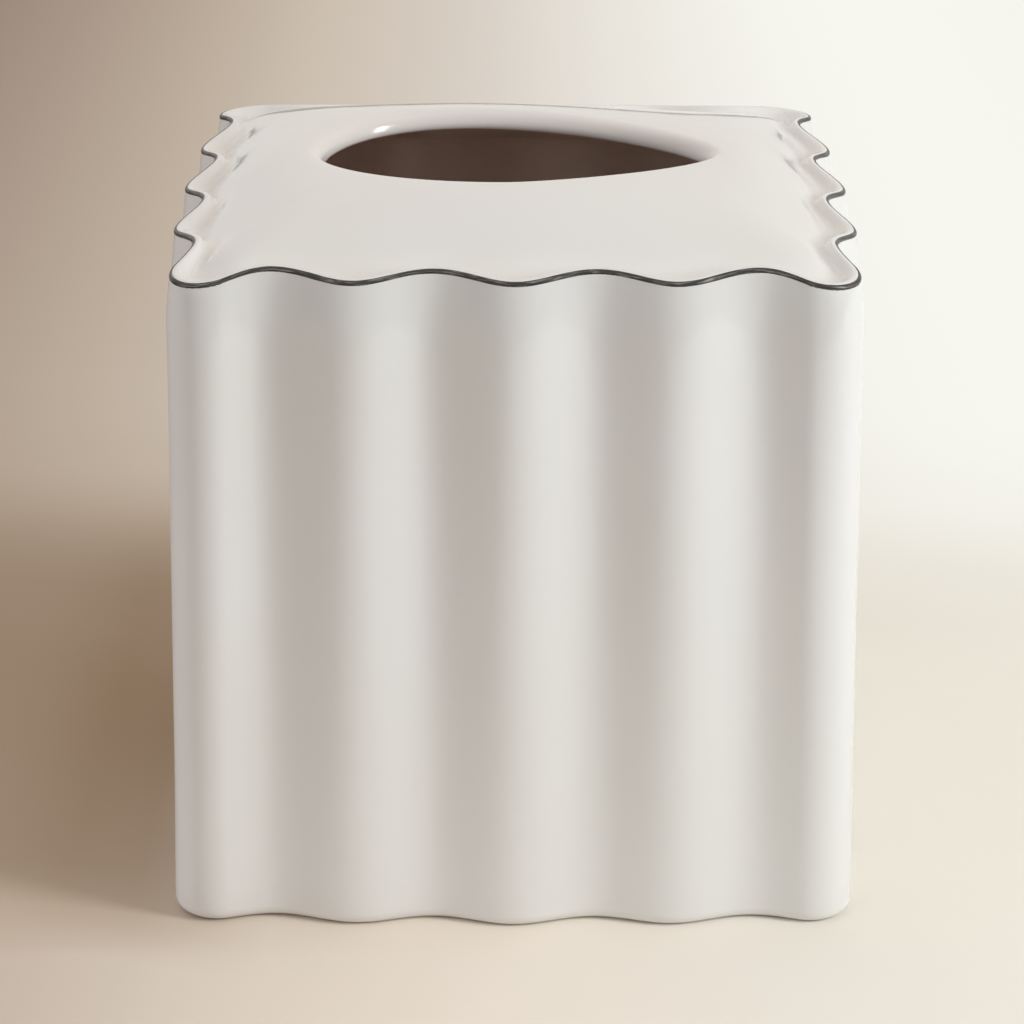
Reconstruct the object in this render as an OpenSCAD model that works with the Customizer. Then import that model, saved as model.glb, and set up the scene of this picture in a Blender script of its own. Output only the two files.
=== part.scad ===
// Cover for a boutique box of tissues: a square hood of slip-cast, glazed ceramic.
// The wall is fluted all round, the rim follows the flutes and rises over each valley,
// the top swells like a pillow to an oval mouth with a rolled lip, and the foot is open.
// A line of fired dark lustre runs round the bead of the rim.
// The origin is on the table at the middle of the foot, +Z up, and the front faces -Y.

/* [Body] */
// Width over the flute crests at the shoulder, just under the rim
body_w = 142; // [132:0.2:170]
// Width over the flute crests at the foot, wider by the draft of the mould
foot_w = 145.8; // [135:0.2:173]
// Height of the rim line above the table, midway between a crest and a valley
rim_h = 139.2; // [110:0.2:190]
// Radius of the four corners, on the middle line of the flutes
corner_r = 10; // [8:0.5:20]
// How far the middle of each side bulges out past its ends
bow = 1.2; // [0:0.1:3]
// Thickness of the ceramic in the wall and the top
wall_t = 5; // [3.5:0.25:6]

/* [Flutes] */
// Number of flutes on a side, with a crest at every corner
flutes = 4; // [2:1:5]
// Depth from crest to valley at the shoulder
flute_depth = 4.8; // [2:0.2:6]
// Depth from crest to valley at the foot
foot_flute_depth = 3.4; // [1:0.1:6]

/* [Rim] */
// How much higher the rim stands over a valley than over a crest, at the front and back
rim_swell = 1.1; // [0:0.1:3]
// How much higher it stands over a valley than over a crest at the left and right sides
side_swell = 1.9; // [0:0.1:3]
// How much lower the rim dips at the two front corners than at the other crests
corner_dip = 1.3; // [0:0.1:2]
// Height of the rounded shoulder under the rim line
shoulder_h = 5; // [3:0.25:10]
// Radius of the bead that rounds the rim's outer edge
bead_r = 1.25; // [1.15:0.05:1.5]
// How far the middle of the rim line lies inside the face of the wall
line_in = 1; // [0.8:0.1:1.5]
// Distance of the gutter inside the rim from the face of the wall
gutter_in = 4.6; // [4:0.1:7]
// Depth of the gutter below the rim line
gutter_drop = 0.8; // [0.2:0.1:2]

/* [Top] */
// Height of the mouth's crest above the rim line, at the front and the back
top_rise = 8.7; // [5:0.1:15]
// How much lower the mouth's crest lies at its two ends
end_drop = 1.5; // [0:0.1:3]

/* [Mouth] */
// Length of the mouth at its throat, from left to right
mouth_l = 81.4; // [60:0.2:90]
// Width of the mouth at its throat, from front to back
mouth_w = 53.8; // [40:0.2:70]
// Radius of the rolled lip on top
lip_r = 3.2; // [2:0.1:4]
// Radius of the lip's lower edge
lip_under_r = 1; // [0.6:0.1:1.6]
// Fullness of the front edge's curve, where 2 is an ellipse and less is an eye shape
front_fullness = 1.7; // [1.6:0.05:2.4]
// Fullness of the back edge's curve
back_fullness = 2.05; // [1.6:0.05:2.4]
// Share by which the front edge swings wider to the left, cut by hand, and narrower to the right
front_skew_share = 0.16; // [0:0.01:0.4]
// Share by which the back edge does the same
back_skew_share = 0.32; // [0:0.01:0.4]

/* [Foot] */
// Radius of the foot's outer edge
foot_r = 2.8; // [1:0.1:2.9]
// Radius of the foot's inner edge
foot_in_r = 0.5; // [0.2:0.05:0.6]

/* [Rim line] */
// Width of the painted line, round the bead
line_w = 1.25; // [0.7:0.05:1.3]
// Thickness that the fired line stands proud of the glaze
line_t = 0.25; // [0.1:0.05:0.4]

/* [Hidden] */

// Facets along one flute, and all round
flute_facets = 10;
sides = 4;
waves = sides * flutes;
around = waves * flute_facets;

// Half sides of the square that the flutes swing about, at the shoulder and the foot
shoulder_half = (body_w - flute_depth) / 2;
foot_half = (foot_w - foot_flute_depth) / 2;
// Part of a corner's arc that counts in the spacing of the flutes
corner_run_share = 0.8;

// The bead's turn from the wall's face up to the crown, at the line's edges and its middle
line_turn = 33;
line_half_turn = line_w / bead_r * 90 / PI;
line_turns = [line_turn - line_half_turn, line_turn, line_turn + line_half_turn];
crown_turn = 90;

// The bead's place, and levels of the wall
crown_in = line_in + bead_r * cos(line_turn);
bead_in = crown_in - bead_r;
bead_z = rim_h - bead_r * sin(line_turn);
shoulder_z = rim_h - shoulder_h;
gutter_z = rim_h - gutter_drop;

// Stations of the wall's face from the foot to the shoulder, and what each takes of the swell
wall_shares = [0.5, 1];
wall_swell_share = 0.3;
// The shoulder's middle station: share of its height, of its inset and of the swell
shoulder_shares = [0.55, 0.25, 0.7];
// Turns of the foot's edge and of the rolled lip
foot_turns = [0, 45, 90];
lip_turns = [30, 60, 90];
// Stations of the cove from the crown down to the gutter, and the depth the flutes keep there
cove_shares = [0.25, 0.5, 0.75];
gutter_flute_share = 0.65;
// Stations of the pillow from the gutter up to the mouth's crest, and of the ceiling under it
pillow_shares = [0.08, 0.2, 0.42, 0.66, 0.86];
ceiling_shares = [0.86, 0.45];
// Share of the pillow over which the flutes fade out, and in which the gutter turns upward
fade_share = 0.35;
settle_share = 0.09;
// Radius of the inner corner under the ceiling, and the depth that the flutes keep there
ceiling_r_share = 0.6;
ceiling_r = wall_t * ceiling_r_share;
ceiling_flute_share = 0.6;
// Part of any inset that moves the whole square in, which keeps the corners round
pull_share = 0.25;
// Part of the rim line's width that its bevels take on each side
line_bevel_share = 0.2;

function next(i) = (i + 1) % around;
function prev(i) = (i + around - 1) % around;
function mix(a, b, t) = a * (1 - t) + b * t;

// Turn of the flute's wave at a point: 0 on a crest, 180 in a valley
function wave(i) = 360 * i / flute_facets;

// Bearing of a point from the middle: 0 at the right side, 90 at the back
function bearing(i) = 360 * i / around - 45;
function is_behind(i) = sin(bearing(i)) > 0;

// 1 on a front corner's crest, fading to 0 in the valleys beside it
function at_front_corner(i) =
    let (facets = flute_facets * flutes,
         off = min(i % facets, facets - i % facets) / flute_facets)
    is_behind(i) || off > 0.5 ? 0 : (1 + cos(360 * off)) / 2;

// One point of the fluted square. It runs counterclockwise from the middle of the
// front right corner, by equal steps along a square with rounded corners and bowed
// sides, and swings out and in by half the flutes' depth.
function flute_point(i, half, r, depth) =
    let (side = floor(i * sides / around),
         arc = PI * r / 4 * corner_run_share,
         reach = half - bow - r,
         straight = 2 * reach,
         run = (i * sides / around - side) * (2 * arc + straight),
         turn = run < arc ? (run / arc - 1) * 45
              : run > arc + straight ? (run - arc - straight) / arc * 45 : 0,
         along = run < arc ? -reach : run > arc + straight ? reach : run - arc - reach,
         bulge = bow * pow(1 - pow(along / reach, 2), 2),
         out = r + depth / 2 * cos(wave(i)),
         x = reach + bulge + out * cos(turn),
         y = along + out * sin(turn),
         a = 90 * side)
    [x * cos(a) - y * sin(a), x * sin(a) + y * cos(a)];

// The way out of a ring at a point
function outward(ring, i) =
    let (run = ring[next(i)] - ring[prev(i)])
    [run.y, -run.x] / norm(run);

// The fluted square drawn in from its face by a distance
function flute_ring(half, depth, inset) =
    let (pull = inset * pull_share,
         ring = [for (i = [0:around - 1]) flute_point(i, half - pull, corner_r, depth)])
    [for (i = [0:around - 1]) ring[i] - (inset - pull) * outward(ring, i)];

// A ring of the wall at a share of the way from the foot to the shoulder
function wall_ring(share, inset) =
    flute_ring(mix(foot_half, shoulder_half, share),
               mix(foot_flute_depth, flute_depth, share), inset);

// How far the rim rises or dips at a point
function swell(i) =
    -mix(rim_swell, side_swell, pow(cos(bearing(i)), 2)) / 2 * cos(wave(i))
    - corner_dip * at_front_corner(i);

// Lifts a plan ring to a height and gives it a share of the rim's swell
function lift(ring, z, share = 0) =
    [for (i = [0:around - 1]) [ring[i].x, ring[i].y, z + share * swell(i)]];

function rim_ring(inset, z, share = 1) = lift(flute_ring(shoulder_half, flute_depth, inset), z, share);

// A ring round the rim's bead, or proud of it
function bead_ring(turn, proud = 0) =
    rim_ring(crown_in - (bead_r + proud) * cos(turn), bead_z + (bead_r + proud) * sin(turn));

function signed_power(v, p) = sign(v) * pow(abs(v), p);

// A ring round the mouth, drawn out from its throat
function mouth_ring(out, drop) =
    [for (i = [0:around - 1])
        let (behind = is_behind(i),
             power = 2 / (behind ? back_fullness : front_fullness),
             x = signed_power(cos(bearing(i)), power),
             y = signed_power(sin(bearing(i)), power),
             skew = 1 - x * (behind ? back_skew_share : front_skew_share))
        [(mouth_l / 2 + out) * x, (mouth_w / 2 + out) * y * skew,
         rim_h + top_rise - end_drop * x * x - drop]];

// The cove and the gutter inside the rim
function cove_ring(share) =
    lift(flute_ring(shoulder_half, flute_depth * mix(1, gutter_flute_share, share),
                    mix(crown_in, gutter_in, share)),
         mix(bead_z + bead_r, gutter_z, (1 - cos(180 * share)) / 2), 1);

// The pillow between the gutter and the mouth's crest. It rises over the plain square
// that the flutes swing about, so that they fade out of it.
crest = mouth_ring(lip_r, 0);
plain = flute_ring(shoulder_half, 0, gutter_in);
function pillow_ring(share, drop = 0) =
    let (faded = min(1, share / fade_share),
         depth = flute_depth * gutter_flute_share * (1 + cos(180 * faded)) / 2,
         start = flute_ring(shoulder_half, depth, gutter_in),
         level = exp(-pow(share / settle_share, 2)))
    [for (i = [0:around - 1])
        let (goal = [crest[i].x, crest[i].y],
             flat = mix(start[i], goal, share),
             out = outward(plain, i),
             gone = (flat - plain[i]) * out / ((goal - plain[i]) * out),
             dome = mix(gutter_z, crest[i].z, sin(90 * min(1, mix(gone, share, faded)))))
        [flat.x, flat.y, mix(dome, gutter_z + swell(i), level) - drop]];

// Up the outside, from the foot's flat to the crown
outer_rings = concat(
    [for (turn = foot_turns)
        lift(wall_ring(0, foot_r * (1 - sin(turn))), foot_r * (1 - cos(turn)))],
    [for (share = wall_shares)
        lift(wall_ring(share, 0), mix(foot_r, shoulder_z, share), share * wall_swell_share)],
    [rim_ring(bead_in * shoulder_shares[1], mix(shoulder_z, bead_z, shoulder_shares[0]),
              shoulder_shares[2])],
    [for (turn = line_turns) bead_ring(turn)],
    [bead_ring(crown_turn)]);

// Down the cove, up the pillow and over the lip to the mouth's throat
top_rings = concat(
    [for (share = cove_shares) cove_ring(share)],
    [cove_ring(1)],
    [for (share = pillow_shares) pillow_ring(share)],
    [crest],
    [for (turn = lip_turns) mouth_ring(lip_r * (1 - sin(turn)), lip_r * (1 - cos(turn)))]);

// Under the lip, along the ceiling and down the inside of the wall to the foot's flat
inner_rings = concat(
    [mouth_ring(lip_under_r, lip_r + lip_under_r)],
    [for (share = ceiling_shares) pillow_ring(share, wall_t)],
    [lift(flute_ring(shoulder_half - ceiling_r, flute_depth * ceiling_flute_share, wall_t),
          gutter_z - wall_t, ceiling_flute_share),
     rim_ring(wall_t, gutter_z - wall_t - ceiling_r, wall_swell_share),
     lift(wall_ring(0, wall_t), foot_in_r),
     lift(wall_ring(0, wall_t - foot_in_r), 0)]);

// Skins a closed loop of rings. Each ring follows the last, and the last meets the first.
// The loop runs up the outside, or up the inside where it says so.
module skin(rings, up_inside = false) {
    count = len(rings);
    points = [for (ring = rings) each ring];
    faces = [for (k = [0:count - 1], i = [0:around - 1])
        let (a = k * around, b = ((k + 1) % count) * around)
        each up_inside ? [[a + i, b + next(i), b + i], [a + i, a + next(i), b + next(i)]]
                       : [[a + i, b + i, b + next(i)], [a + i, b + next(i), a + next(i)]]];
    polyhedron(points, faces, convexity = 10);
}

// The one-piece shell: foot, fluted wall, rim, gutter, pillow, lip and inside
module cover_shell() {
    color([0.87, 0.85, 0.82])
        skin(concat(outer_rings, top_rings, inner_rings));
}

// The lustre line: a thin band that lies on the bead's facets and follows the rim
module rim_line() {
    low = line_turns[0];
    high = line_turns[2];
    color([0.2, 0.2, 0.19])
        skin([bead_ring(low), bead_ring(line_turn), bead_ring(high),
              bead_ring(mix(high, low, line_bevel_share), line_t),
              bead_ring(line_turn, line_t),
              bead_ring(mix(low, high, line_bevel_share), line_t)], up_inside = true);
}

cover_shell();
rim_line();
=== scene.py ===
import bpy
import math
from mathutils import Euler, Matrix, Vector


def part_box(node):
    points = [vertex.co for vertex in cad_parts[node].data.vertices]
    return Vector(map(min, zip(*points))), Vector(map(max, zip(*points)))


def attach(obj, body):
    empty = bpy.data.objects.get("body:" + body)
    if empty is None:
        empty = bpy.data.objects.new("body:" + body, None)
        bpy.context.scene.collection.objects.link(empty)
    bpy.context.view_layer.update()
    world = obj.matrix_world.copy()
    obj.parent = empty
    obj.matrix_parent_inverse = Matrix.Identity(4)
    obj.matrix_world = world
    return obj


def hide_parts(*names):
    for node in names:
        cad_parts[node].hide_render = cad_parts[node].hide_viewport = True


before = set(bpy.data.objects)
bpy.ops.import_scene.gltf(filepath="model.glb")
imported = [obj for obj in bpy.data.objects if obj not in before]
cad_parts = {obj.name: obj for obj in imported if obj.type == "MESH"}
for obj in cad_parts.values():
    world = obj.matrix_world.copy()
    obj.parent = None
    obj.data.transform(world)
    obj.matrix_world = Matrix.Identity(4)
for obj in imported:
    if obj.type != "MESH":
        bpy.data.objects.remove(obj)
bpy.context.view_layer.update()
scene = bpy.context.scene
scene.view_settings.view_transform = "Standard"

# Camera
# A long lens, set well back and somewhat higher than the cover, looks down on its front and
# on a little of its top, so that the flutes stay nearly parallel.
mm = 0.001
lens = bpy.data.cameras.new("camera")
lens.sensor_width = 36.0
lens.lens = 117.3
lens.clip_start = 0.01
camera = bpy.data.objects.new("camera", lens)
pitch, roll = math.radians(21.125), math.radians(0.17)
turned = Euler((math.radians(90) - pitch, 0, 0)).to_matrix() @ Euler((0, 0, roll)).to_matrix()
camera.location = Vector((-0.5, -686.85, 329.85)) * mm
camera.rotation_euler = turned.to_euler()
scene.collection.objects.link(camera)
scene.camera = camera


# Cover shell
# The cover is one shell of slip-cast ceramic, fluted all round, with a rim that follows the
# flutes, a pillowed top and a rolled mouth. It is glazed all over but for its foot, which
# stands bare on the table. Its section is drawn once and carried round the fluted square.
class Sum:
    """A number in a node tree, which sums in this script build on."""

    def __init__(self, tree, socket):
        self.tree, self.socket = tree, socket

    def work(self, operation, *others):
        node = self.tree.nodes.new("ShaderNodeMath")
        node.operation = operation
        for slot, term in zip(node.inputs, (self, *others)):
            feed(self.tree, slot, term)
        return Sum(self.tree, node.outputs[0])

    def __add__(self, other):
        return self.work("ADD", other)

    def __sub__(self, other):
        return self.work("SUBTRACT", other)

    def __mul__(self, other):
        return self.work("MULTIPLY", other)

    def __truediv__(self, other):
        return self.work("DIVIDE", other)

    def between(self, low, high):
        return self.work("MAXIMUM", low).work("MINIMUM", high)


def feed(tree, slot, term):
    if isinstance(term, Sum):
        tree.links.new(term.socket, slot)
    else:
        slot.default_value = term


def node_in(tree, kind, feeds=(), **settings):
    """A new node with its settings, and its inputs fed by their names."""
    node = tree.nodes.new(kind)
    for name, value in settings.items():
        setattr(node, name, value)
    for name, term in dict(feeds).items():
        feed(tree, node.inputs[name], term)
    return node


def out_of(tree, node, output=0):
    return Sum(tree, node.outputs[output])


def made_by(tree, kind, feeds=(), output=0, **settings):
    """What a new node gives at one output."""
    return out_of(tree, node_in(tree, kind, feeds, **settings), output)


def blend(a, b, share):
    """From a to b by a share, for plain numbers and for sums."""
    return b * share + a * (share * -1 + 1)


def start_tree(name, inputs, outputs):
    """A new Geometry Nodes tree, its inputs by name, and its output node."""
    tree = bpy.data.node_groups.new(name, "GeometryNodeTree")
    kinds = {float: "NodeSocketFloat", int: "NodeSocketInt"}
    for label, value in inputs.items():
        kind = value if isinstance(value, str) else kinds[type(value)]
        socket = tree.interface.new_socket(name=label, in_out="INPUT", socket_type=kind)
        if not isinstance(value, str):
            socket.default_value = value
    for label, kind in outputs.items():
        tree.interface.new_socket(name=label, in_out="OUTPUT", socket_type=kind)
    given = tree.nodes.new("NodeGroupInput")
    taken = tree.nodes.new("NodeGroupOutput")
    return tree, {label: Sum(tree, given.outputs[label]) for label in inputs}, taken


# Sizes in millimetres. The frame gives the width over the crests at the foot and the height
# of the mouth's crest, and the rest are the sizes that the cover is cast to.
lowest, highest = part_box("cover_shell")
foot_w, crest_h = round((highest.x - lowest.x) / mm, 2), round(highest.z / mm, 2)
body_w, corner_r, corner_run_share, bow, wall_t = 142.0, 10.0, 0.8, 1.2, 5.0
flutes, flute_depth, foot_flute_depth = 4, 4.8, 3.4
rim_swell, side_swell, corner_dip = 1.1, 1.9, 1.3
mouth_l, mouth_w, top_rise, end_drop = 81.4, 53.8, 8.7, 1.5
front_fullness, back_fullness, front_skew, back_skew = 1.7, 2.05, 0.16, 0.32
rim_h = crest_h - top_rise

# The fluted square: a square with round corners whose edge swings out and in
square_sizes = {
    "Round": 0.0, "Half side": (body_w - flute_depth) / 2 * mm, "Corner radius": corner_r * mm,
    "Flutes": float(flutes), "Depth": flute_depth * mm, "Bow": bow * mm}
place_on_plan = {"X": "NodeSocketFloat", "Y": "NodeSocketFloat"}
square_tree, square, square_out = start_tree(
    "Fluted square", {**square_sizes, "Corner run": corner_run_share}, place_on_plan)
quarters = square["Round"] * 4
side = quarters.work("FLOOR")
share = quarters - side
reach = square["Half side"] - square["Bow"] - square["Corner radius"]
arc = square["Corner radius"] * square["Corner run"] * (math.pi / 4)
run = share * ((arc + reach) * 2)
turn = ((run / arc).between(0, 1) + ((run - arc - reach * 2) / arc).between(0, 1) - 1) * (math.pi / 4)
along = (run - arc).between(0, reach * 2) - reach
wave = (share * square["Flutes"] * math.tau).work("COSINE")
swing = square["Corner radius"] + square["Depth"] * wave * 0.5
from_end = (along / reach).work("POWER", 2) * -1 + 1
x = reach + square["Bow"] * from_end * from_end + swing * turn.work("COSINE")
y = along + swing * turn.work("SINE")
quarter_turn = side * (math.pi / 2)
cosine, sine = quarter_turn.work("COSINE"), quarter_turn.work("SINE")
feed(square_tree, square_out.inputs["X"], x * cosine - y * sine)
feed(square_tree, square_out.inputs["Y"], x * sine + y * cosine)

# The same square drawn in from its face, part of it as a whole and the rest along its normal
ring_tree, ring, ring_out = start_tree(
    "Fluted ring", {**square_sizes, "Pull": 0.0, "Inset": 0.0},
    {**place_on_plan, "Normal X": "NodeSocketFloat", "Normal Y": "NodeSocketFloat"})
nudge = 1 / 4096
points = []
for ahead in (-nudge, 0, nudge):
    spot = node_in(ring_tree, "GeometryNodeGroup", node_tree=square_tree)
    for name in ("Corner radius", "Flutes", "Depth", "Bow"):
        feed(ring_tree, spot.inputs[name], ring[name])
    feed(ring_tree, spot.inputs["Round"], ring["Round"] + ahead)
    feed(ring_tree, spot.inputs["Half side"], ring["Half side"] - ring["Pull"])
    points.append((out_of(ring_tree, spot, "X"), out_of(ring_tree, spot, "Y")))
(x_back, y_back), (x, y), (x_on, y_on) = points
run_x, run_y = x_on - x_back, y_on - y_back
length = (run_x * run_x + run_y * run_y).work("SQRT")
feed(ring_tree, ring_out.inputs["X"], x - ring["Inset"] * run_y / length)
feed(ring_tree, ring_out.inputs["Y"], y + ring["Inset"] * run_x / length)
feed(ring_tree, ring_out.inputs["Normal X"], run_y / length)
feed(ring_tree, ring_out.inputs["Normal Y"], run_x / length * -1)

# How far the rim stands up over a valley and dips over a crest and a front corner
swell_tree, rim, swell_out = start_tree(
    "Rim swell",
    {"Round": 0.0, "Flutes": float(flutes), "Swell": rim_swell * mm, "Side swell": side_swell * mm,
     "Corner dip": corner_dip * mm},
    {"Height": "NodeSocketFloat"})
share = (rim["Round"] * 4).work("FRACT")
from_corner = share.work("MINIMUM", share * -1 + 1) * rim["Flutes"]
at_corner = (from_corner.work("MINIMUM", 0.5) * math.tau).work("COSINE") * 0.5 + 0.5
crest = (share * rim["Flutes"] * math.tau).work("COSINE")
at_side = (rim["Round"] * (2 * math.tau) - math.pi / 2).work("COSINE") * 0.5 + 0.5
height = blend(rim["Swell"], rim["Side swell"], at_side)
in_front = (rim["Round"] * math.tau - math.pi / 4).work("SINE").work("LESS_THAN", 0)
dip = at_corner * in_front * rim["Corner dip"]
feed(swell_tree, swell_out.inputs["Height"], crest * height * -0.5 - dip)

# The section, as stations from the foot up the outside, over the rim and the top, into the
# mouth and down the inside, in millimetres
stations = []


def station(inset=0.0, height=0.0, swell=1.0, rise=1.0, flute=1.0, pull=0.0, pillow=0.0, level=1.0,
            out=0.0, drop=0.0, bare=0.0, inside=0.0, slack=0.0):
    """A station lies in from the face of the fluted square by its inset and pull. It keeps a
    share of the swell, the rise, the flutes and the level of the rim. Its pillow is its share
    of the way to the mouth, where it lies out of the throat and drops below the crest. The
    glaze wants to know how bare and how far inside it is, and the casting how slack."""
    stations.append(dict(inset=inset, height=height, swell=swell, rise=rise, flute=flute, pull=pull,
                         pillow=pillow, level=level, out=out, drop=drop, bare=bare, inside=inside,
                         slack=slack))


def rounding(steps):
    """A quarter turn without its end: at each step the share gone, its sine and its cosine."""
    for step in range(steps):
        angle = math.radians(90 * step / steps)
        yield step / steps, math.sin(angle), math.cos(angle)


def slack_at(share, rate):
    """A stretch of clay is slack in its middle and taut at both ends."""
    return min(1.0, share * rate, (1 - share) * rate)


def fair(knots, steps):
    """A smooth line through a few stations, without its first and last."""
    line = []
    for before, start, end, after in zip(knots, knots[1:], knots[2:], knots[3:]):
        for step in range(steps):
            t = step / steps
            line.append([0.5 * (2 * b + (c - a) * t + (2 * a - 5 * b + 4 * c - d) * t * t
                                + (3 * b - a - 3 * c + d) * t ** 3)
                         for a, b, c, d in zip(before, start, end, after)])
    return line


foot_r, foot_in_r, foot_bare = 2.8, 0.5, 1 / 3
shoulder_h, lean_down, wall_swell, wall_slack = 5.0, 11.0, 0.3, 6
bead_r, line_in, line_turn = 1.25, 1.0, math.radians(33)
gutter_in, gutter_drop, gutter_flute, pull_share = 4.6, 0.8, 0.65, 0.25
fade_share, settle_share, pillow_crowding, pillow_slack = 0.35, 0.09, 1.3, 5
lip_r, lip_under_r, lip_shade_share, lip_shade_curve = 3.2, 1.0, 0.42, 0.7
ceiling_r, ceiling_start, ceiling_end, ceiling_flute, ceiling_swell = 3.0, 0.93, 0.12, 0.6, 0.6
shoulder_z, gutter_z, ceiling_z = rim_h - shoulder_h, rim_h - gutter_drop, rim_h - gutter_drop - wall_t
crown_in, bead_z = line_in + bead_r * math.cos(line_turn), rim_h - bead_r * math.sin(line_turn)
bead_in, crown_z = crown_in - bead_r, bead_z + bead_r
foot_steps, wall_steps, rim_steps, bead_steps, gutter_steps, pillow_steps = 9, 24, 4, 9, 12, 34
lip_steps, lip_under_steps, under_top_steps, ceiling_steps, inside_steps, sole_steps = 12, 5, 12, 6, 16, 4

for share, sine, cosine in rounding(foot_steps):
    station(inset=foot_r * (1 - sine), height=foot_r * (1 - cosine), swell=0, rise=0,
            bare=1.0 if share < foot_bare else 0.0)
lean_share = (rim_h - lean_down - foot_r) / (shoulder_z - foot_r)
for step in range(wall_steps):
    share = step / wall_steps
    risen = share * lean_share
    station(height=blend(foot_r, shoulder_z, risen), swell=risen * wall_swell, rise=risen,
            slack=slack_at(share, wall_slack))

# The wall leans in to the bead of the rim past these, each an inset, a height, a swell and a rise
rim_knots = [
    (0.0, rim_h - lean_down - 4.0, lean_share * wall_swell, lean_share - 0.03),
    (0.0, rim_h - lean_down, lean_share * wall_swell, lean_share),
    (bead_in * 0.15, rim_h - 8.0, wall_swell, 0.975),
    (bead_in * 0.42, shoulder_z, 0.42, 1.0),
    (bead_in * 0.72, rim_h - 2.6, 0.7, 1.0),
    (bead_in, bead_z, 1.0, 1.0),
    (bead_in + 0.06, bead_z + 0.34, 1.0, 1.0)]
for inset, height, swell, rise in fair(rim_knots, rim_steps):
    station(inset=inset, height=height, swell=swell, rise=rise)
for share, sine, cosine in rounding(bead_steps):
    station(inset=crown_in - bead_r * cosine, height=bead_z + bead_r * sine)
for step in range(gutter_steps):
    share = step / gutter_steps
    station(inset=blend(crown_in, gutter_in, share), flute=blend(1.0, gutter_flute, share),
            height=blend(crown_z, gutter_z, (1 - math.cos(math.pi * share)) / 2))
for step in range(pillow_steps):
    share = (step / pillow_steps) ** pillow_crowding
    fade = (1 + math.cos(math.pi * min(1.0, share / fade_share))) / 2
    station(inset=gutter_in, flute=gutter_flute * fade, height=gutter_z, pillow=share, out=lip_r,
            level=math.exp(-(share / settle_share) ** 2), slack=slack_at(share, pillow_slack))
# Over the lip roll the share of painted warm shade grows towards the throat.
for share, sine, cosine in rounding(lip_steps):
    station(pillow=1, level=0, out=lip_r * (1 - sine), drop=lip_r * (1 - cosine),
            inside=lip_shade_share * share ** lip_shade_curve)
for share, sine, cosine in rounding(lip_under_steps):
    station(pillow=1, level=0, out=lip_under_r * (1 - cosine), drop=lip_r + lip_under_r * sine,
            inside=blend(lip_shade_share, 1.0, share))
for step in range(under_top_steps):
    station(inset=gutter_in, flute=0, height=ceiling_z, out=lip_r, drop=wall_t, level=0, inside=1,
            pillow=blend(ceiling_start, ceiling_end, step / under_top_steps))
for share, sine, cosine in rounding(ceiling_steps):
    station(inset=wall_t, pull=ceiling_r * (1 - sine), height=ceiling_z - ceiling_r * (1 - cosine),
            flute=blend(ceiling_flute, 1.0, share), swell=blend(ceiling_swell, wall_swell, share), inside=1)
for step in range(inside_steps):
    share = step / inside_steps
    station(inset=wall_t, height=blend(ceiling_z - ceiling_r, foot_in_r, share),
            swell=wall_swell * (1 - share), rise=1 - share, inside=1)
for share, sine, cosine in rounding(sole_steps):
    station(inset=wall_t - foot_in_r * (1 - cosine), height=foot_in_r * (1 - sine), swell=0, rise=0,
            inside=1 - share, bare=share)
for step in range(sole_steps):
    share = step / (sole_steps - 1)
    station(inset=blend(wall_t - foot_in_r, foot_r, share), swell=0, rise=0, bare=1)
stations.append(stations[0])


def section_of(name, stations):
    """The stations as points of a line, each with its numbers as attributes in metres."""
    lengths = ("inset", "height", "pull", "out", "drop", "proud")
    section = bpy.data.meshes.new(name)
    section.from_pydata([(0, 0, k * mm) for k in range(len(stations))],
                        [(k, k + 1) for k in range(len(stations) - 1)], [])
    for label in stations[0]:
        values = section.attributes.new(label, "FLOAT", "POINT")
        values.data.foreach_set("value", [s[label] * (mm if label in lengths else 1) for s in stations])
    return section


def carry(tree, section, steps, labels):
    """A grid with a column for each step round and a row for each station of a section. Gives
    the grid, the share of the way round at a point, and the numbers of the point's station."""
    count = made_by(tree, "GeometryNodeAttributeDomainSize", {"Geometry": section}, "Point Count",
                    component="MESH")
    grid = made_by(tree, "GeometryNodeMeshGrid", {
        "Size X": 1.0, "Size Y": 1.0, "Vertices X": steps + 1, "Vertices Y": count}, "Mesh")
    place = node_in(tree, "ShaderNodeSeparateXYZ", {"Vector": made_by(tree, "GeometryNodeInputPosition")})
    number = ((out_of(tree, place, "Y") + 0.5) * (count - 1)).work("ROUND")
    at = {}
    for label in labels:
        named = made_by(tree, "GeometryNodeInputNamedAttribute", {"Name": label}, data_type="FLOAT")
        at[label] = made_by(tree, "GeometryNodeSampleIndex", {
            "Geometry": section, "Value": named, "Index": number}, data_type="FLOAT")
    return grid, out_of(tree, place, "X") + 0.5, at


def use(tree, group, **feeds):
    """A group in a tree, fed by its inputs' names with underscores for spaces."""
    return node_in(tree, "GeometryNodeGroup", {
        name.replace("_", " "): term for name, term in feeds.items()}, node_tree=group)


def plan_of(part, turned_round):
    """What a ring takes over from the sizes of a part."""
    return dict(Round=turned_round, Corner_radius=part["Corner radius"], Bow=part["Bow"],
                Flutes=part["Flutes on a side"])


def swell_of(tree, part, turned_round):
    """How high the rim swells at a share of the way round."""
    return out_of(tree, use(
        tree, swell_tree, Round=turned_round, Flutes=part["Flutes on a side"],
        Swell=part["Rim swell"], Side_swell=part["Side swell"], Corner_dip=part["Corner dip"]))


def noise(tree, place, scale, detail):
    return made_by(tree, "ShaderNodeTexNoise", {"Vector": place, "Scale": scale, "Detail": detail})


def labelled(tree, made, **numbers):
    """A mesh that keeps these numbers at its points, for its finish."""
    for name, value in numbers.items():
        made = made_by(tree, "GeometryNodeStoreNamedAttribute", {
            "Geometry": made, "Name": name, "Value": value}, data_type="FLOAT", domain="POINT")
    return made


def worked(tree, made, *steps):
    """A mesh after a run of nodes, each given by its kind and what it is fed."""
    for kind, feeds in steps:
        made = made_by(tree, kind, {"Geometry": made, **feeds})
    return made


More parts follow.
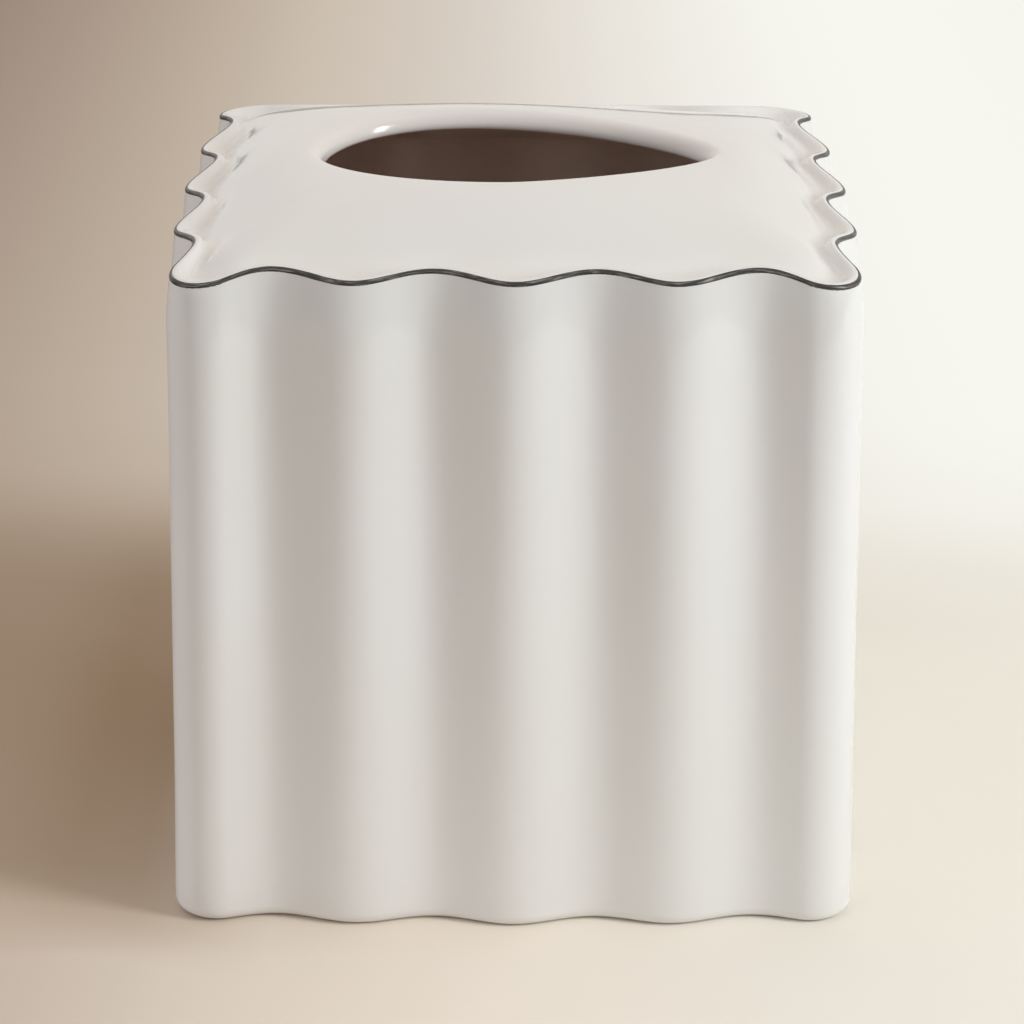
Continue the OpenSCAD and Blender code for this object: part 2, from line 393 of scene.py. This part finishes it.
casting_slack, unevenness_scale, seam_gap = 0.25, 22.0, 0.002
shell_inputs = {
    "Section": "NodeSocketGeometry", "Steps round": 512, "Flutes on a side": float(flutes),
    "Half side at the foot": (foot_w - foot_flute_depth) / 2 * mm,
    "Half side at the shoulder": (body_w - flute_depth) / 2 * mm,
    "Corner radius": corner_r * mm, "Bow": bow * mm,
    "Flute depth at the foot": foot_flute_depth * mm, "Flute depth at the shoulder": flute_depth * mm,
    "Rim swell": rim_swell * mm, "Side swell": side_swell * mm, "Corner dip": corner_dip * mm,
    "Gutter inset": gutter_in * mm, "Lip radius": lip_r * mm,
    "Mouth half length": mouth_l / 2 * mm, "Mouth half width": mouth_w / 2 * mm,
    "Front fullness": front_fullness, "Back fullness": back_fullness,
    "Front skew": front_skew, "Back skew": back_skew,
    "Crest height": crest_h * mm, "End drop": end_drop * mm,
    "Casting slack": casting_slack * mm, "Glaze": "NodeSocketMaterial"}
shell_tree, part, shell_out = start_tree("Cover shell", shell_inputs, {"Cover": "NodeSocketGeometry"})
grid, turned_round, at = carry(shell_tree, part["Section"], part["Steps round"], stations[0])
depth = blend(part["Flute depth at the foot"], part["Flute depth at the shoulder"], at["rise"])
fluted = use(
    shell_tree, ring_tree, **plan_of(part, turned_round), Depth=depth * at["flute"],
    Half_side=blend(part["Half side at the foot"], part["Half side at the shoulder"], at["rise"]),
    Pull=at["pull"] + at["inset"] * pull_share, Inset=at["inset"] * (1 - pull_share))
bearing = turned_round * math.tau - math.pi / 4
behind = bearing.work("SINE").work("GREATER_THAN", 0)
power = blend(part["Front fullness"], part["Back fullness"], behind).work("POWER", -1) * 2
oval = []
for part_of_turn in (bearing.work("COSINE"), bearing.work("SINE")):
    oval.append(part_of_turn.work("SIGN") * part_of_turn.work("ABSOLUTE").work("POWER", power))
oval[1] = oval[1] * (oval[0] * blend(part["Front skew"], part["Back skew"], behind) * -1 + 1)
mouth_x = (part["Mouth half length"] + at["out"]) * oval[0]
mouth_y = (part["Mouth half width"] + at["out"]) * oval[1]
mouth_z = part["Crest height"] - part["End drop"] * oval[0] * oval[0] - at["drop"]
fluted_z = at["height"] + swell_of(shell_tree, part, turned_round) * at["swell"]
fluted_x, fluted_y = out_of(shell_tree, fluted, "X"), out_of(shell_tree, fluted, "Y")
point_x, point_y = blend(fluted_x, mouth_x, at["pillow"]), blend(fluted_y, mouth_y, at["pillow"])

# The pillow rises over the plain square that the flutes swing about, so that they fade out of it
plain = use(
    shell_tree, ring_tree, **plan_of(part, turned_round), Depth=0.0,
    Half_side=part["Half side at the shoulder"],
    Pull=part["Gutter inset"] * pull_share, Inset=part["Gutter inset"] * (1 - pull_share))
plain_x, plain_y = out_of(shell_tree, plain, "X"), out_of(shell_tree, plain, "Y")
lip_x = (part["Mouth half length"] + part["Lip radius"]) * oval[0]
lip_y = (part["Mouth half width"] + part["Lip radius"]) * oval[1]
normal_x, normal_y = out_of(shell_tree, plain, "Normal X"), out_of(shell_tree, plain, "Normal Y")
way = (lip_x - plain_x) * normal_x + (lip_y - plain_y) * normal_y
gone = ((point_x - plain_x) * normal_x + (point_y - plain_y) * normal_y) / way
gone = blend(gone, at["pillow"], (at["pillow"] / fade_share).work("MINIMUM", 1))
dome_z = blend(at["height"], mouth_z, (gone.work("MINIMUM", 1) * (math.pi / 2)).work("SINE"))
point_z = blend(dome_z, fluted_z, at["level"])
point = made_by(shell_tree, "ShaderNodeCombineXYZ", {"X": point_x, "Y": point_y, "Z": point_z})
made = labelled(shell_tree, grid, bare=at["bare"], inside=at["inside"], slack=at["slack"])
made = worked(
    shell_tree, made,
    ("GeometryNodeSetPosition", {"Position": point}),
    ("GeometryNodeMergeByDistance", {"Distance": seam_gap * mm}))

# The slack stretches sink in a little, unevenly, as a casting does while it dries
unevenness = noise(shell_tree, made_by(shell_tree, "GeometryNodeInputPosition"), unevenness_scale, 1.0)
slack = made_by(shell_tree, "GeometryNodeInputNamedAttribute", {"Name": "slack"}, data_type="FLOAT")
sink = unevenness * slack * part["Casting slack"] * -1
outward = node_in(shell_tree, "ShaderNodeVectorMath", {"Scale": sink}, operation="SCALE")
feed(shell_tree, outward.inputs[0], made_by(shell_tree, "GeometryNodeInputNormal"))
made = worked(
    shell_tree, made,
    ("GeometryNodeSetPosition", {"Offset": out_of(shell_tree, outward)}),
    ("GeometryNodeSetShadeSmooth", {}),
    ("GeometryNodeRealizeInstances", {}),
    ("GeometryNodeSetMaterial", {"Material": part["Glaze"]}))
feed(shell_tree, shell_out.inputs["Cover"], made)


def new_finish(name):
    """A material with its tree and its shader."""
    finish = bpy.data.materials.new(name)
    finish.use_nodes = True
    return finish, finish.node_tree, finish.node_tree.nodes["Principled BSDF"]


def tint(tree, first, second, share):
    """A colour that goes from the first to the second by a share."""
    mixed = node_in(tree, "ShaderNodeMix", data_type="RGBA")
    for slot, term in ((mixed.inputs[0], share), (mixed.inputs[6], first), (mixed.inputs[7], second)):
        feed(tree, slot, term)
    return out_of(tree, mixed, 2)


def attribute_in(tree, name):
    return made_by(tree, "ShaderNodeAttribute", output="Fac", attribute_name=name)


def object_place(tree):
    return made_by(tree, "ShaderNodeTexCoord", output="Object")


def roughened(tree, shader, relief, depth):
    """Gives a shader a fine relief of a depth in millimetres."""
    bump = made_by(tree, "ShaderNodeBump", {"Height": relief, "Distance": depth * mm, "Strength": 0.5})
    feed(tree, shader.inputs["Normal"], bump)


# The glaze drifts between two whites, ripples a little and holds a few pinholes. Over the lip and on the
# inside it is rougher and its colour is painted warm, as painted shade, and the foot is wiped bare.
white_glaze, cream_glaze = (0.815, 0.80, 0.78, 1), (0.80, 0.79, 0.755, 1)
painted_warm_shade, bare_clay, pinhole_brown = (0.80, 0.66, 0.58, 1), (0.71, 0.64, 0.55, 1), (0.42, 0.37, 0.31, 1)
drift_scale, ripple_scale, speckle_scale, pinhole_scale = 16.0, 190.0, 1400.0, 42.0
pinhole_r, pinhole_rarity, pinhole_depth, ripple_depth = 0.014, 0.72, 3, 0.06
drift_rough, thin_rough, bare_rough, pinhole_rough, glaze_rough = 0.06, 0.15, 0.45, 0.3, 0.075
glaze, looks, shader = new_finish("off_white_glaze")
place = object_place(looks)
drift = noise(looks, place, drift_scale, 2.0)
ripple = noise(looks, place, ripple_scale, 2.0)
speckle = noise(looks, place, speckle_scale, 1.0)
cells = node_in(looks, "ShaderNodeTexVoronoi", {"Vector": place, "Scale": pinhole_scale})
chosen = made_by(looks, "ShaderNodeSeparateXYZ", {"Vector": out_of(looks, cells, "Color")})
pinhole = out_of(looks, cells, "Distance").work("LESS_THAN", pinhole_r)
pinhole = pinhole * chosen.work("GREATER_THAN", pinhole_rarity)
inside, bare = attribute_in(looks, "inside"), attribute_in(looks, "bare")
colour = tint(looks, white_glaze, cream_glaze, (drift * 3 - 1).between(0, 1))
colour = tint(looks, colour, pinhole_brown, pinhole)
# Painted warm shade over the lip and on the inside.
colour = tint(looks, colour, painted_warm_shade, inside)
colour = tint(looks, colour, bare_clay, bare)
feed(looks, shader.inputs["Base Color"], colour)
feed(looks, shader.inputs["Roughness"], drift * drift_rough + inside * thin_rough
     + bare * bare_rough + pinhole * pinhole_rough + glaze_rough)
relief = ripple * (bare * -1 + 1) + speckle * bare - pinhole * pinhole_depth
roughened(looks, shader, relief, ripple_depth)


def grown(name, tree, mesh, values):
    """The mesh that a tree makes from another with these inputs, as a plain object."""
    seed = bpy.data.objects.new(name + "_seed", mesh)
    scene.collection.objects.link(seed)
    step = seed.modifiers.new(name, "NODES")
    step.node_group = tree
    for socket in tree.interface.items_tree:
        if socket.in_out == "INPUT" and socket.name in values:
            step[socket.identifier] = values[socket.name]
    bpy.context.view_layer.update()
    graph = bpy.context.evaluated_depsgraph_get()
    plain = bpy.data.meshes.new_from_object(
        seed.evaluated_get(graph), preserve_all_data_layers=True, depsgraph=graph)
    seed.modifiers.clear()
    bpy.data.objects.remove(seed)
    plain.name = name
    piece = bpy.data.objects.new(name, plain)
    scene.collection.objects.link(piece)
    return piece


cover = grown("glazed_cover", shell_tree, section_of("cover_section", stations), {"Glaze": glaze})
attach(cover, "root")
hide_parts("cover_shell")

# Rim line
# A brush charged with dark lustre was drawn once round the bead of the rim, over the fired
# glaze, and fired again. The band is a hair proud, wavers in width and is thin at its edges.
# The lighter grey streaks along the band are partly lustre brushed thin and partly painted sheen.
fired_charcoal, grey_streak_and_sheen = (0.042, 0.040, 0.037, 1), (0.25, 0.24, 0.225, 1)
streaks_round, streaks_across, grain_scale = 150, 1.6, 1800.0
thin_contrast, thin_start, thin_rough, grain_rough, lustre_rough = 4, 1.9, 0.15, 0.1, 0.27
grain_share, streak_depth = 0.5, 0.05
lustre, looks, shader = new_finish("charcoal_lustre")
along_brush = made_by(looks, "ShaderNodeCombineXYZ", {
    "X": attribute_in(looks, "round") * streaks_round, "Y": attribute_in(looks, "across") * streaks_across})
streaks = noise(looks, along_brush, 1.0, 3.0)
thinned_and_sheen = (streaks * thin_contrast - thin_start).between(0, 1)
grain = noise(looks, object_place(looks), grain_scale, 1.0)
feed(looks, shader.inputs["Base Color"], tint(looks, fired_charcoal, grey_streak_and_sheen, thinned_and_sheen))
feed(looks, shader.inputs["Roughness"], thinned_and_sheen * thin_rough + grain * grain_rough + lustre_rough)
shader.inputs["Metallic"].default_value = 0.5
roughened(looks, shader, streaks + grain * grain_share, streak_depth)

# Across the band: a low crown that ends just under the glaze, closed by points sunk deeper
line_w, line_t, crown_share, edge_sink, band_sink, band_steps = 1.25, 0.25, 0.7, 0.02, 0.12, 12
waver_scale, waver_share, usual_width = 60.0, 0.5, 0.95
band = []
for step in range(band_steps + 1):
    across = 2 * step / band_steps - 1
    band.append(dict(across=across, proud=line_t * crown_share * (1 - across * across) - edge_sink))
for across in (0.9, 0.0, -0.9):
    band.append(dict(across=across, proud=-band_sink))
band.append(band[0])

line_inputs = {
    "Section": "NodeSocketGeometry", "Steps round": 640, "Flutes on a side": float(flutes),
    "Half side": (body_w - flute_depth) / 2 * mm, "Corner radius": corner_r * mm, "Bow": bow * mm,
    "Flute depth": flute_depth * mm, "Rim swell": rim_swell * mm, "Side swell": side_swell * mm,
    "Corner dip": corner_dip * mm, "Bead radius": bead_r * mm, "Bead inset": crown_in * mm,
    "Bead height": bead_z * mm, "Line width": line_w * mm, "Line turn": line_turn,
    "Unevenness": waver_share, "Lustre": "NodeSocketMaterial"}
line_tree, part, line_out = start_tree("Rim line", line_inputs, {"Line": "NodeSocketGeometry"})
grid, turned_round, at = carry(line_tree, part["Section"], part["Steps round"], band[0])
course = dict(**plan_of(part, turned_round), Half_side=part["Half side"], Depth=part["Flute depth"])
face = use(line_tree, ring_tree, **course)
brush = made_by(line_tree, "ShaderNodeCombineXYZ", {
    "X": out_of(line_tree, face, "X"), "Y": out_of(line_tree, face, "Y")})
waver = noise(line_tree, brush, waver_scale, 2.0)
width = part["Line width"] * ((waver - 0.5) * part["Unevenness"] + usual_width)
angle = at["across"] * width / part["Bead radius"] * 0.5 + part["Line turn"]
bead = part["Bead radius"] + at["proud"]
inset = part["Bead inset"] - bead * angle.work("COSINE")
painted = use(line_tree, ring_tree, **course, Pull=inset * pull_share, Inset=inset * (1 - pull_share))
height = part["Bead height"] + bead * angle.work("SINE") + swell_of(line_tree, part, turned_round)
point = made_by(line_tree, "ShaderNodeCombineXYZ", {
    "X": out_of(line_tree, painted, "X"), "Y": out_of(line_tree, painted, "Y"), "Z": height})
made = labelled(line_tree, grid, across=at["across"], round=turned_round)
made = worked(
    line_tree, made,
    ("GeometryNodeSetPosition", {"Position": point}),
    ("GeometryNodeMergeByDistance", {"Distance": seam_gap * mm}),
    ("GeometryNodeSetShadeSmooth", {}),
    ("GeometryNodeRealizeInstances", {}),
    ("GeometryNodeSetMaterial", {"Material": part["Lustre"]}))
feed(line_tree, line_out.inputs["Line"], made)

line = grown("painted_rim_line", line_tree, section_of("line_section", band), {"Lustre": lustre})
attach(line, "root")
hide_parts("rim_line")

# Floor and light
# The cover stands on a pale matt table, which the low part of the glaze mirrors as far as its front edge. A
# window lights it from the right, and the table's colour is painted darker and browner towards the left as
# painted fall-off of light, with a painted shadow left of the cover.
table_front, table_far, table_side = -0.50, 3.0, 3.0
floor_mesh = bpy.data.meshes.new("floor")
floor_mesh.from_pydata(
    [(-table_side, table_front, 0), (table_side, table_front, 0), (table_side, table_far, 0),
     (-table_side, table_far, 0)], [], [(0, 1, 2, 3)])
floor = bpy.data.objects.new("floor", floor_mesh)
scene.collection.objects.link(floor)


def ramp(tree, share, stops):
    """Colours by a number, from stops of a number each and a colour."""
    low, high = stops[0][0], stops[-1][0]
    scale = made_by(tree, "ShaderNodeMapRange", {"Value": share, "From Min": low, "From Max": high})
    node = node_in(tree, "ShaderNodeValToRGB", {"Fac": scale})
    node.color_ramp.interpolation = "CARDINAL"
    marks = node.color_ramp.elements
    while len(marks) < len(stops):
        marks.new(0.5)
    for mark, (place, shade) in zip(marks, stops):
        mark.position = (place - low) / (high - low)
        mark.color = (*shade, 1)
    return out_of(tree, node)


def grey_ramp(tree, share, stops):
    """Greys by a number, from stops of a number each and a level."""
    return ramp(tree, share, [(place, (level, level, level)) for place, level in stops])


def seen_or_mirrored(tree, where=1):
    """1 for the rays of the camera, and where asked also for those that the glaze mirrors."""
    path = node_in(tree, "ShaderNodeLightPath")
    mirrored = out_of(tree, path, "Is Glossy Ray") * where
    return out_of(tree, path, "Is Camera Ray").work("MAXIMUM", mirrored)


# Sweeps of colour from left to right, in metres, that paint the fall-off of light, dark and brown at the
# left and pale at the right: over the table, and over the far paper, which glows with this painted light
# only where it is seen or mirrored
table_painted_falloff = (
    (-0.12, (0.575, 0.465, 0.37)), (-0.07, (0.73, 0.635, 0.53)), (-0.01, (0.895, 0.81, 0.70)),
    (0.05, (0.90, 0.855, 0.765)), (0.12, (0.885, 0.86, 0.78)))
paper_painted_falloff = (
    (-0.24, (0.33, 0.25, 0.20)), (-0.11, (0.55, 0.465, 0.38)), (0.0, (0.725, 0.67, 0.605)),
    (0.11, (0.91, 0.90, 0.84)), (0.24, (0.92, 0.92, 0.855)))
painted_shadow_brown, front_grey = (0.36, 0.25, 0.155, 1), (0.88, 0.86, 0.83, 1)
paper, looks, shader = new_finish("pale_table")
spot = node_in(looks, "ShaderNodeSeparateXYZ", {"Vector": object_place(looks)})
right, back = out_of(looks, spot, "X"), out_of(looks, spot, "Y")
shade_slant, shade_pivot, paper_slant, paper_pivot = 0.35, 0.10, 0.12, 0.05
grey_rate, grey_start, grey_most = -25, 2.0, 0.12
# Painted shadow: the table is tinted dark brown left of the cover, as far as these ramps by depth and by
# side reach.
shadow_by_depth = grey_ramp(looks, back + (right + shade_pivot) * shade_slant, (
    (-0.080, 0), (-0.066, 0.33), (-0.045, 0.68), (0.0, 0.9), (0.05, 1), (0.085, 0.88), (0.30, 0.86)))
shadow_by_side = grey_ramp(looks, right, ((-0.25, 0.5), (-0.12, 0.67), (-0.08, 1), (-0.05, 0)))
# Painted light: the table turns greyer towards its front and stays warmer near the cover, as bounced light
# and shade would make it.
in_front = (back * grey_rate - grey_start).between(0, grey_most)
table_colour = tint(looks, ramp(looks, right, table_painted_falloff), front_grey, in_front)
table_colour = tint(looks, table_colour, painted_shadow_brown, shadow_by_depth * shadow_by_side)
feed(looks, shader.inputs["Base Color"], table_colour)
shader.inputs["Roughness"].default_value = 0.9
glow = made_by(looks, "ShaderNodeEmission", {"Color": ramp(looks, right, paper_painted_falloff)})
far = grey_ramp(looks, back + (right - paper_pivot) * paper_slant, (
    (0.07, 0), (0.105, 0.08), (0.139, 0.33), (0.172, 0.7), (0.208, 0.88), (0.255, 1)))
joined = node_in(looks, "ShaderNodeMixShader", {"Fac": far * seen_or_mirrored(looks)})
feed(looks, joined.inputs[1], out_of(looks, shader))
feed(looks, joined.inputs[2], glow)
feed(looks, looks.nodes["Material Output"].inputs["Surface"], out_of(looks, joined))
floor_mesh.materials.append(paper)

# The room's light comes from the left, the back and above. The view shows the room as pale
# paper, and so does the glaze above the horizon.
world = bpy.data.worlds.new("studio")
scene.world = world
world.use_nodes = True
sky = world.node_tree
room_left, room_back, room_top = (1.10, 1.20, 1.36), (0.86, 0.88, 0.90), (0.78, 0.63, 0.50)
paper_white = (0.88, 0.85, 0.80)
way = node_in(sky, "ShaderNodeSeparateXYZ", {"Vector": made_by(sky, "ShaderNodeTexCoord")})
leftward = out_of(sky, way, "X").work("MINIMUM", 0)
backward = out_of(sky, way, "Y").work("MAXIMUM", 0)
upward = out_of(sky, way, "Z").work("MAXIMUM", 0)
above = out_of(sky, way, "Z").work("GREATER_THAN", 0)
seen = seen_or_mirrored(sky, above)
room = node_in(sky, "ShaderNodeCombineColor")
for channel, (left, back, top, white) in enumerate(zip(room_left, room_back, room_top, paper_white)):
    lit = (leftward * leftward * left + backward * backward * back) * above + upward.work("POWER", 3) * top
    feed(sky, room.inputs[channel], lit * (seen * -1 + 1) + seen * white)
feed(sky, sky.nodes["Background"].inputs["Color"], out_of(sky, room))


def softbox(name, place, aim, size, power, colour):
    light = bpy.data.lights.new(name, "AREA")
    light.shape = "RECTANGLE"
    light.size, light.size_y = size
    light.energy, light.color = power, colour
    lamp = bpy.data.objects.new(name, light)
    lamp.location = place
    lamp.rotation_euler = (Vector(aim) - Vector(place)).to_track_quat("-Z", "Y").to_euler()
    scene.collection.objects.link(lamp)


softbox("window", place=(1.02, -0.46, 0.58), aim=(0, -0.05, 0.08), size=(0.3, 0.75), power=10.2,
        colour=(0.94, 1.0, 1.06))
softbox("reflector", place=(-0.45, -1.35, 0.5), aim=(0, 0, 0.1), size=(1.7, 1.7), power=3.1,
        colour=(1.0, 1.0, 1.03))
softbox("ceiling", place=(0, 0, 1.3), aim=(0, 0, 0.1), size=(1.0, 1.0), power=0.7,
        colour=(1.0, 0.97, 0.7))
